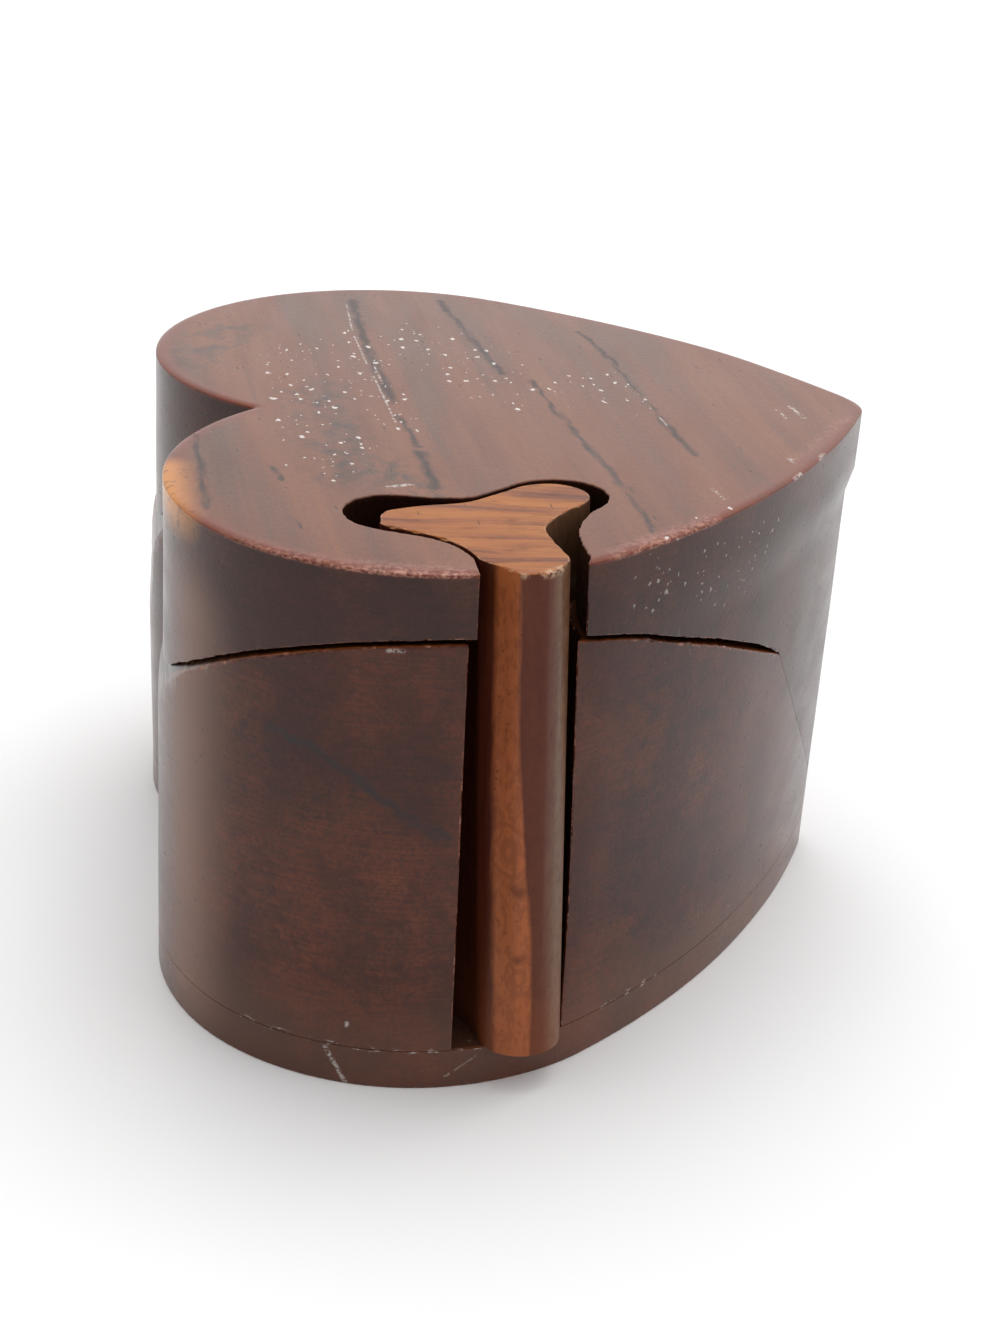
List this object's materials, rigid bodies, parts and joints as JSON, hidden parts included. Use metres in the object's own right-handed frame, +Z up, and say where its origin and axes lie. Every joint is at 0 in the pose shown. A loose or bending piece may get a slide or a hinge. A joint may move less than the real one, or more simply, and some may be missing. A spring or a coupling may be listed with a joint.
{
  "type": "puzzle box",
  "caption": "Heart-shaped wooden puzzle box: arched lid on a hollow block, locked by an upright winged key in the side wall, with a felt-lined cavity.",
  "frame": {"origin": "centre of the box's outline, at the underside of the floor board", "axes": "+Z up; +X along the heart's axis from the cleft to the tip; -Y towards the wall that holds the key"},
  "size_m": [0.0828, 0.1022, 0.0575],
  "materials": {
    "body_wood": "dark reddish-brown hardwood, satin lacquer",
    "lid_wood": "reddish-brown hardwood, satin lacquer, worn rim",
    "key_wood": "orange-tan hardwood, satin lacquer",
    "felt": "short dark red felt"
  },
  "bodies": {
    "box": {"body": "body_wood", "base_slab": "body_wood", "floor_felt": "felt", "wall_felt": "felt"},
    "lid": {"lid": "lid_wood"},
    "key": {"key": "key_wood"}
  },
  "joints": [
    {"name": "key_slide", "type": "slide", "parent": "box", "child": "key", "axis": [-0.0313, 0.0261, 0.9992], "range_m": [0, 0.055]},
    {"name": "lid_lift", "type": "slide", "parent": "box", "child": "lid", "axis": [-0.0313, 0.0261, 0.9992], "range_m": [0, 0.05]}
  ]
}
